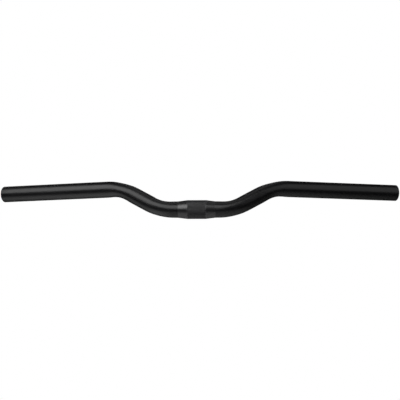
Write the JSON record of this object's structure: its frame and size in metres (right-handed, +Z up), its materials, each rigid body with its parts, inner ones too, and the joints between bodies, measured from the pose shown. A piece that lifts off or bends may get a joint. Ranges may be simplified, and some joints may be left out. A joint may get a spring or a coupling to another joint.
{
  "type": "riser handlebar",
  "caption": "Riser handlebar: bent tube with a bulged, knurled middle for a stem, slants that lift it on either side, and straight grip lengths that sweep back to open ends.",
  "frame": {"origin": "middle of the stem clamp, on the tube's axis", "axes": "+X along the clamp, towards the rider's left; +Y back towards the rider; +Z up"},
  "size_m": [0.56, 0.1103, 0.0538],
  "materials": {
    "satin_black": "satin black coating"
  },
  "bodies": {
    "root": {"handlebar": "satin_black"}
  },
  "joints": []
}
